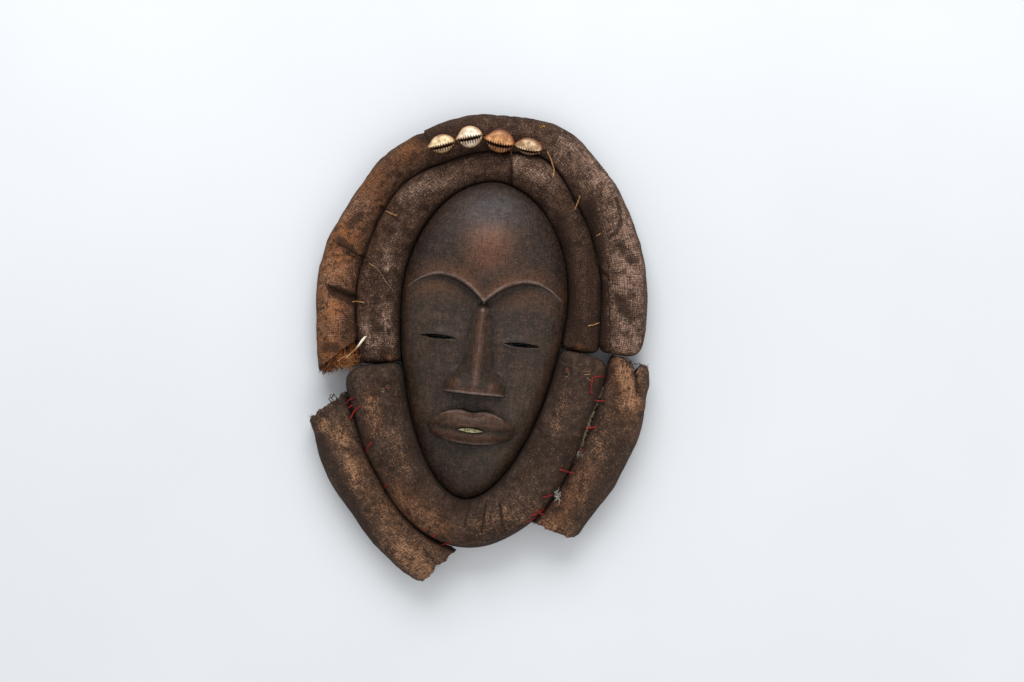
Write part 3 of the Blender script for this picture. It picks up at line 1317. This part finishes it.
LOOPS = [
    [(338, 404), (333, 402.5), (330.5, 399), (331.5, 395), (335, 394), (337.5, 396.5), (338.5, 401)],
    [(340, 402), (334.5, 400.5), (332.5, 397.5), (334.5, 395)],
    [(345, 399), (341.5, 396.5), (342.5, 393), (345.5, 392.5), (348, 396)],
    [(322, 417), (319, 412), (320.5, 409), (323, 409), (325, 415)],
    [(622, 368), (622, 360), (626, 357.5), (629, 361), (629, 368)],
    [(625, 368), (627, 362), (630, 361), (633, 369)],
]
LOOSE_THREADS = [
    [(369, 263), (377, 268), (382, 274), (388, 284), (397, 294)],
    [(582.5, 371.5), (586, 371), (590, 371.3)],
    [(582.5, 374.5), (586, 374), (590, 374.3)],
    [(585, 377), (588, 378.5), (590.5, 381)],
    [(510.5, 150), (511.3, 153), (510.6, 157)],
]
SEAM_FLUFF = [(556, 493), (558, 496), (579, 453)]
TACK_FLUFF = [(385, 389.5), (568, 374)]
YELLOW_FLECKS = [(543, 127.5)]
SELVAGE = [(603.8, 385.7), (597, 402), (590.4, 416), (581.5, 442.7), (573.5, 464)]
RAFFIA = {
    "raffia_left": [
        [(352, 302), (358, 301.5), (365.5, 303)],
        [(386, 211), (391, 214), (398, 217)],
        [(370, 264), (377, 268)],
    ],
    "raffia_right": [
        [(579.8, 196), (577.5, 203), (574.5, 210.5)],
        [(587, 326), (593, 325), (599.8, 322.5)],
        [(595.5, 237), (600.5, 234)],
        [(547, 152), (551, 160), (554, 170), (553, 178)],
    ],
}


def seam_threads(ground, stitches, radius, strands, lift):
    for seed, (name, lines) in enumerate(stitches.items()):
        made = []
        for k, line in enumerate(lines):
            made += twisted(ground.drape(line, lift), strands, radius, seed * 50 + k)
        yield name, tubes(f"{name}_stitches", made)


def curled(start, run, length, radius, chance, curl=0.5):
    """A loose fibre that wanders off from its start along run."""
    count = 12
    path = [np.array(start, float)]
    heading = np.array(run, float)
    bend = chance.normal(0, curl, 3)
    for _ in range(count - 1):
        heading = unit(heading + bend / count * 1.6 + chance.normal(0, curl * 0.2, 3))
        path.append(path[-1] + heading * length / count)
    path = np.array(path)
    path[:, 2] = np.maximum(path[:, 2], radius + 0.1)
    return path, radius * np.linspace(1, 0.55, count)


def rim_fibres(piece_name, name, end, count, length, curl):
    """Frayed threads that stand out of an open end of a roll."""
    chance = np.random.default_rng(len(piece_name))
    points, _ = roll_skin(name)
    rim, run = points[end], end_direction(points, end, 3)
    made = []
    for _ in range(count):
        start = rim[chance.integers(len(rim))]
        if start[2] < 1.5:
            continue
        aim = unit(run + chance.normal(0, 0.45, 3))
        made.append(curled(start - run * 1.2, aim, chance.uniform(0.3, 1) * length,
                           chance.uniform(0.1, 0.22), chance, curl))
    return tubes(piece_name, made, 5)


def straw_bundle(name, count, thickness, past, seed):
    """Stalks packed in the mouth of the upper outer roll. Their tips end about where the cloth once did,
    or further out by the millimetres given in past."""
    chance = np.random.default_rng(seed)
    points, _ = roll_skin("upper_outer_roll")
    centre, run = points[0].mean(0), end_direction(points, 0, 3)
    first = ROLLS["upper_outer_roll"]["from"]
    outward = outward_from(np.array([first]))[0]
    full = along(ROLLS["upper_outer_roll"]["radii"], first)
    made = []
    for _ in range(count):
        turn = chance.uniform(-0.3, math.pi + 0.6)
        radius = (full - 1.6) * chance.uniform(0.35, 1) ** 0.4
        spot = outward * radius * math.cos(turn) + np.array([0, 0, radius * math.sin(turn)])
        base = centre + spot - run * (drawn_back(turn) + 3)
        tip = centre + spot * chance.uniform(0.75, 1.03) + run * chance.uniform(past - 5, past)
        aim = tip + chance.normal(0, 1.6, 3) - base
        length = np.linalg.norm(aim)
        made.append(curled(base, aim / length, length, chance.uniform(0.4, 1) * thickness, chance, 0.35))
    return tubes(name, made, 5)


def loose_stalks(name, count, seed):
    """Bright stalks that have worked loose over the straw and point across the mouth."""
    chance = np.random.default_rng(seed)
    made = []
    for _ in range(count):
        start = from_photo(chance.uniform(337, 356), chance.uniform(355, 367))
        aim = unit(from_photo(368, 362) - from_photo(340, 360) + chance.normal(0, 6, 2))
        made.append(curled([*start, chance.uniform(25, 30)], [*aim, -0.3], chance.uniform(5, 12),
                           chance.uniform(0.14, 0.3), chance))
    return tubes(name, made, 5)


def long_stalk(name):
    """The one thick stalk that sticks out over the roll beside the mouth, paler towards its tip."""
    tip, mid, root = (from_photo(*pixel) for pixel in ((366.5, 336.5), (357, 349), (342, 362)))
    path = np.array([(*tip, 31.5), (*mid, 31), (*root, 27)])
    fine = np.column_stack([np.interp(np.linspace(0, 2, 24), range(3), path[:, k]) for k in range(3)])
    radius = along([(0, 0.5), (0.14, 0.95), (0.35, 0.65), (1, 0.4)], np.linspace(0, 1, 24))
    piece = tubes(name, [(fine, radius), (fine + [0.9, 0.5, -0.4], radius * 0.5)], 8)
    away = np.hypot(*(face_frame_points(piece)[:, :2] - tip).T)
    tones = (1.5 * smooth(1 - away / 15)).astype(np.float32)
    piece.data.attributes["tone"].data.foreach_set("value", tones)
    return piece


def selvage(name, line, ground, seed):
    """The frayed edge of the cloth along a seam: short threads that lie across it, in tufts."""
    chance = np.random.default_rng(seed)
    path = ground.drape(line, 0.3, 6)
    made = []
    for k in range(2, len(path) - 2):
        run = path[k + 1] - path[k - 1]
        across = np.cross(unit(run), [0, 0, 1.0])
        for _ in range(max(1, round(4 + 7 * lumps(path[k], 6, 2)))):
            aim = across * chance.choice([-1, 1]) + run * chance.normal(0, 0.6)
            aim = unit(aim + [0, 0, chance.uniform(0, 0.4)])
            made.append(curled(path[k] + chance.normal(0, 0.4, 3), aim, chance.uniform(0.8, 3.0),
                               chance.uniform(0.1, 0.22), chance, 1.6))
    return tubes(name, made, 5)


def tuft(name, pixels, ground, count, length, radius, seed):
    """Loose pale fibres caught in a seam."""
    chance = np.random.default_rng(seed)
    made = []
    for u, v in pixels:
        for _ in range(count):
            place = from_photo(u, v) + chance.normal(0, 0.9, 2)
            angle = chance.uniform(0, 2 * math.pi)
            aim = unit(np.array([math.cos(angle), math.sin(angle), chance.uniform(0.05, 0.5)]))
            start = [*place, ground.height(*place) + radius]
            made.append(curled(start, aim, chance.uniform(0.4, 1) * length, radius, chance, 1.5))
    return tubes(name, made, 5)


# The cowries. How far apart their teeth are.
TOOTH_PITCH = 1.9


def cowrie_mesh(number, half_length, half_width, low, bow):
    """A money cowrie, mouth up: two unequal lips that roll in to a narrow toothed slit along it."""
    rings, columns = 60, 180
    out = np.sin(np.linspace(0, np.pi / 2, rings)) ** 0.75
    out, turn = np.meshgrid(out, round_turn(columns), indexing="ij")
    x = out * np.cos(turn)
    beak = 0.34 * smooth((-x - 0.35) / 0.65)
    y = out * np.sin(turn) * (1.04 + 0.1 * x - 0.24 * x ** 2 - beak)
    s, t = x * half_length, y * half_width
    away = y + low - bow * (1 - x ** 2)
    side = np.sign(away)
    sunk = smooth((1.03 - out) / 0.1)
    uneven = lumps(in_plane(s, side), 2.2, 8)
    notch = 0.5 + 0.5 * np.cos((s + 0.35 * uneven) * 2 * np.pi / TOOTH_PITCH + 1.1 * side)
    narrowed = 1.1 - np.abs(x) ** 3
    gape = (0.09 + np.where(side > 0, 0.3, 0.42) * (1 + 0.3 * uneven) * notch ** 1.2) * narrowed
    cleft = smooth((gape - np.abs(away)) / 0.1 + 0.3) * sunk
    swell = np.maximum(0, 1 - out ** 2.6) ** 0.6
    rolled = 0.1 * hump(np.abs(away) - 0.24, 0.16) * sunk
    z = COWRIE_HEIGHT * (0.26 + 0.66 * swell + rolled)
    z = z - 3.2 * hump(away, 0.1) * narrowed * sunk - 0.5 * cleft
    edge = in_plane(s[-1:], t[-1:])
    foot = [edge * [share, share, 0] + [0, 0, lift] for share, lift in ((0.93, 0.6), (0.7, 0), (0, 0))]
    points = np.concatenate([np.dstack([s, t, z]), *foot])
    rows = len(points)
    slit = np.zeros((rows, columns))
    slit[:rings] = clamp01(cleft * (0.85 + 0.3 * hump(away, 0.12)))
    rim = np.ones((rows, columns))
    patchy = 0.5 * smooth(1.6 * lumps(in_plane(s, t), 5, number)) * (away > 0.35)
    rim[:rings] = np.max([out ** 3.6, 0.75 * hump(np.abs(away) - 0.12, 0.17) * sunk, patchy], 0)
    return points.reshape(-1, 3), grid_faces(rows, columns, True), slit, rim


def skin_at(name, s, t):
    """The point of a roll's skin as made, straight over (s, t), and the direction out of the skin there."""
    shape = ROLLS[name]
    phi = np.arange(shape["from"], shape["to"], 0.25)
    middle = roll_middle(name, phi)
    best = np.argmin(np.hypot(middle[:, 0] - s, middle[:, 1] - t))
    outward = outward_from(phi[best:best + 1])[0]
    radius = float(along(shape["radii"], phi[best]))
    angle = math.acos(float((np.array([s, t, 0]) - middle[best]) @ outward) / radius)
    normal = outward * math.cos(angle) + np.array([0, 0, math.sin(angle)])
    return middle[best] + normal * radius + np.array([0, 0, radius * FLAT_SHARE]), normal


def set_on(points, place, normal, turn):
    """The points turned about their own z, then leant so that it runs along the normal, and put in place."""
    lean = Vector((0, 0, 1)).rotation_difference(Vector(normal)).to_matrix()
    angle = math.radians(turn)
    sine, cosine = math.sin(angle), math.cos(angle)
    flat = np.array([[cosine, -sine, 0], [sine, cosine, 0], [0, 0, 1]])
    return points @ (np.array(lean) @ flat).T + place


# Each shell's body, its rim and clouds, and its specks.
SHELL_COLOURS = [
    ((248, 224, 176), (132, 80, 42), (96, 54, 28)),
    ((254, 244, 220), (180, 140, 96), (124, 84, 50)),
    ((226, 166, 106), (118, 62, 30), (84, 44, 22)),
    ((246, 214, 166), (112, 66, 38), (82, 46, 28)),
]


def cowrie(number):
    s, t, half_length, half_width, turn, low, bow = COWRIES[number]
    points, faces, slit, rim = cowrie_mesh(number, half_length, half_width, low, bow)
    place, normal = skin_at("upper_outer_roll", s, t)
    points = set_on(points, place + normal * GAP * 2.5, normal, turn)
    piece = mesh_object(f"cowrie_{number + 1}", points, faces)
    set_attribute(piece, "slit", slit)
    set_attribute(piece, "rim", rim)
    colours = (rgb(*colour) for colour in SHELL_COLOURS[number])
    material = shell_material(f"shell_{number + 1}", *colours)
    return finish_piece(piece, material, "shell", [f"cowrie_shell_{number + 1}"])


# The tacks' (s, t).
TACKS = {"tack_left": (-64.1, -70.1), "tack_right": (66.5, -43.8)}
TACK_RADIUS = 2.3


def tack(node, ground, material):
    """A worn nail head, its edge eaten by rust."""
    s, t = TACKS[node]
    _, normal = skin_at("chin_roll", s, t)
    rings, columns = 12, 36
    out, turn = np.meshgrid(np.linspace(0.02, 1, rings), round_turn(columns), indexing="ij")
    dome = np.dstack([out * np.cos(turn), out * np.sin(turn), 0.55 * (1 - out ** 2.5)]) * TACK_RADIUS
    dome = dome * (1 + 0.1 * lumps(dome, 1.3, 31)[..., None] * out[..., None])
    under = dome[-1:] * [0.8, 0.8, 0] - [0, 0, 0.5]
    points = np.concatenate([dome, under]).reshape(-1, 3)
    place = np.array([s, t, ground.height(s, t) + 0.3])
    faces = grid_faces(rings + 1, columns, True)
    piece = mesh_object(f"{node}_head", set_on(points, place, normal, 0), faces)
    return finish_piece(piece, material, "rusty_iron", [node])


# The stage. Half the floor's width, and the lines of its grid.
FLOOR_REACH = 1500
FLOOR_LINES = 13


def floor():
    side = np.linspace(-FLOOR_REACH, FLOOR_REACH, FLOOR_LINES)
    s, t = np.meshgrid(side, side, indexing="ij")
    faces = [face[::-1] for face in grid_faces(FLOOR_LINES, FLOOR_LINES, False)]
    piece = mesh_object("floor", in_plane(s, t).reshape(-1, 3), faces)
    piece.data.materials.append(floor_material())
    piece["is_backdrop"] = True


def in_row(s, t, z):
    return Vector((np.array([s, t, z]) + FACE_IN_ROW) * MM)


def softbox(name, place, aim, size, power, colour):
    lamp = bpy.data.lights.new(name, "AREA")
    lamp.shape = "RECTANGLE"
    lamp.size, lamp.size_y = size
    lamp.energy = power
    lamp.color = colour
    holder = bpy.data.objects.new(name, lamp)
    holder.location = place
    holder.rotation_euler = (Vector(aim) - Vector(place)).to_track_quat("-Z", "Y").to_euler()
    bpy.context.scene.collection.objects.link(holder)


def lights():
    softbox("sky", (-0.2, 1.45, 1.25), (0, 0.05, 0), (1.6, 1.1), 30, (0.97, 0.985, 1.0))
    softbox("fill", (0.9, -0.9, 1.5), (0, 0, 0), (1.6, 1.6), 7, (1.0, 0.97, 0.93))
    world = bpy.data.worlds.new("studio")
    world.use_nodes = True
    around = world.node_tree.nodes["Background"].inputs
    around["Color"].default_value = (0.97, 0.98, 1.0, 1.0)
    around["Strength"].default_value = 0.66
    bpy.context.scene.world = world
    bpy.context.scene.view_settings.view_transform = "Standard"


# The fibres' dark and light colours, and their roughness.
FIBRES = {
    "red_sewing_thread": ((92, 14, 14), (168, 42, 40), 0.7),
    "raffia_fibre": ((122, 82, 44), (196, 152, 98), 0.85),
    "pale_thread": ((120, 102, 76), (192, 178, 146), 0.85),
    "straw_stalk": ((36, 19, 12), (150, 88, 44), 0.85),
    "bright_straw": ((92, 52, 25), (200, 146, 86), 0.85),
    "pale_stalk": ((150, 98, 52), (246, 234, 210), 0.85),
    "dark_loose_thread": ((34, 26, 22), (84, 62, 50), 0.85),
    "frayed_selvage": ((62, 47, 37), (190, 168, 138), 0.85),
    "white_fluff": ((176, 170, 158), (232, 228, 218), 0.85),
    "yellow_fleck": ((150, 104, 30), (214, 168, 60), 0.85),
}
# Frayed ends: the roll, which end of it, how many threads, how long they are and how far they curl.
FRAYED = {
    "frayed_lower_left_top": ("lower_left_roll", -1, 60, 6.5, 3.5),
    "frayed_lower_left_foot": ("lower_left_roll", 0, 110, 2.6, 1.6),
    "frayed_lower_right_top": ("lower_right_roll", 0, 150, 5.0, 2.2),
    "frayed_lower_right_foot": ("lower_right_roll", -1, 110, 3.5, 2.0),
}
# How far up the loops stand, as a share of the way from the cloth beneath to their highest point.
LOOP_RISE = 0.85


def threads_and_straw(ground):
    """All that is sewn through the rolls, sticks out of them or is caught in them."""
    fibre = {name: fibre_material(name, *colours) for name, colours in FIBRES.items()}
    for node, piece in seam_threads(ground, RED_STITCHES, 0.3, 3, 0.45):
        finish_piece(piece, fibre["red_sewing_thread"], "red_thread", [node])
    for node, piece in seam_threads(ground, RAFFIA, 0.3, 2, 0.4):
        finish_piece(piece, fibre["raffia_fibre"], "raffia", [node])
    threads = [twisted(ground.drape(line, 0.3, 20), 1, 0.2, 5)[0] for line in LOOSE_THREADS]
    loops = []
    for k, pixels in enumerate(LOOPS):
        line = ground.drape(pixels, 0.4)
        line[:, 2] = mix(line[:, 2], np.max(line[:, 2]), LOOP_RISE)
        loops += twisted(line, 1, 0.36, k)
    for piece, kind, slot, *replaced in (
        (tubes("loose_pale_thread", threads[:1]), "pale_thread", "raffia"),
        (tubes("loose_brown_threads", threads[1:]), "raffia_fibre", "raffia"),
        (straw_bundle("straw_stalks", 760, 0.36, 3.0, 4), "straw_stalk", "straw", "straw_stuffing"),
        (loose_stalks("loose_straw", 45, 8), "bright_straw", "straw"),
        (long_stalk("long_stalk"), "pale_stalk", "straw"),
        *((rim_fibres(name, *shape), "dark_loose_thread", "lower_cloth") for name, shape in FRAYED.items()),
        (tubes("loops_of_thread", loops), "dark_loose_thread", "lower_cloth"),
        (selvage("right_seam_selvage", SELVAGE, ground, 6), "frayed_selvage", "lower_cloth"),
        (tuft("fluff_in_right_seam", SEAM_FLUFF, ground, 26, 7, 0.16, 3), "white_fluff", "raffia"),
        (tuft("fluff_by_tacks", TACK_FLUFF, ground, 8, 3.5, 0.13, 5), "pale_thread", "raffia"),
        (tuft("yellow_flecks", YELLOW_FLECKS, ground, 5, 1.6, 0.4, 9), "yellow_fleck", "raffia"),
    ):
        finish_piece(piece, fibre[kind], slot, replaced)


# The dark, middle, warm and light colours of the two cloths.
UPPER_CLOTH = (rgb(52, 36, 27), rgb(90, 65, 50), rgb(165, 103, 57), rgb(186, 151, 131))
LOWER_CLOTH = (rgb(54, 41, 34), rgb(84, 67, 58), rgb(132, 86, 54), rgb(196, 146, 108))

# The camera's lens and sensor in millimetres, the photograph's pixels, and the height it is framed at.
LENS = 80.0
SENSOR = 36.0
PHOTO_SIZE = (1024, 682)
MID_HEIGHT = 17.0


def camera():
    """Looks straight down on the mask as it lies, with the photograph's tilt and framing."""
    middle = from_photo(PHOTO_SIZE[0] / 2, PHOTO_SIZE[1] / 2)
    distance = PHOTO_SIZE[0] * PIXEL * LENS / SENSOR
    data = bpy.data.cameras.new("camera")
    data.lens, data.sensor_width = LENS, SENSOR
    holder = bpy.data.objects.new("camera", data)
    holder.location = in_row(*middle, MID_HEIGHT + distance)
    holder.rotation_euler = (0, 0, TILT)
    bpy.context.scene.collection.objects.link(holder)
    bpy.context.scene.camera = holder


def dress():
    upper_weave = {"thread": 1.6, "gaps": 0.72, "cover": 0.2, "pale": 0.65, "roughness": 0.93}
    lower_weave = {"thread": 1.0, "gaps": 0.35, "cover": 0.2, "pale": 0.3, "roughness": 0.82}
    upper = cloth_material("upper_old_cloth", *UPPER_CLOTH, **upper_weave)
    lower = cloth_material("lower_old_cloth", *LOWER_CLOTH, **lower_weave)
    rolls = [
        stuffed_roll("upper_inner_roll", upper, "upper_cloth", (), faded=0.15, creased=0.9),
        stuffed_roll("upper_outer_roll", upper, "upper_cloth", (0,), faded=0.15, creased=0.8),
        stuffed_roll("chin_roll", lower, "lower_cloth", (), faded=0.1, creased=1.1),
        stuffed_roll("lower_left_roll", lower, "lower_cloth", (0, -1), faded=0.38, creased=0.3),
        stuffed_roll("lower_right_roll", lower, "lower_cloth", (0, -1), faded=0.32, creased=0.4),
    ]
    face = carved_face()
    mouth_packing()
    ground = Ground([face, *rolls])
    threads_and_straw(ground)
    for number in range(len(COWRIES)):
        cowrie(number)
    rust = rust_material()
    for node in TACKS:
        tack(node, ground, rust)


camera()
lights()
floor()
dress()

sizes = [[list(map(float, corner)) for corner in box] for box in (cad_bounds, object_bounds())]
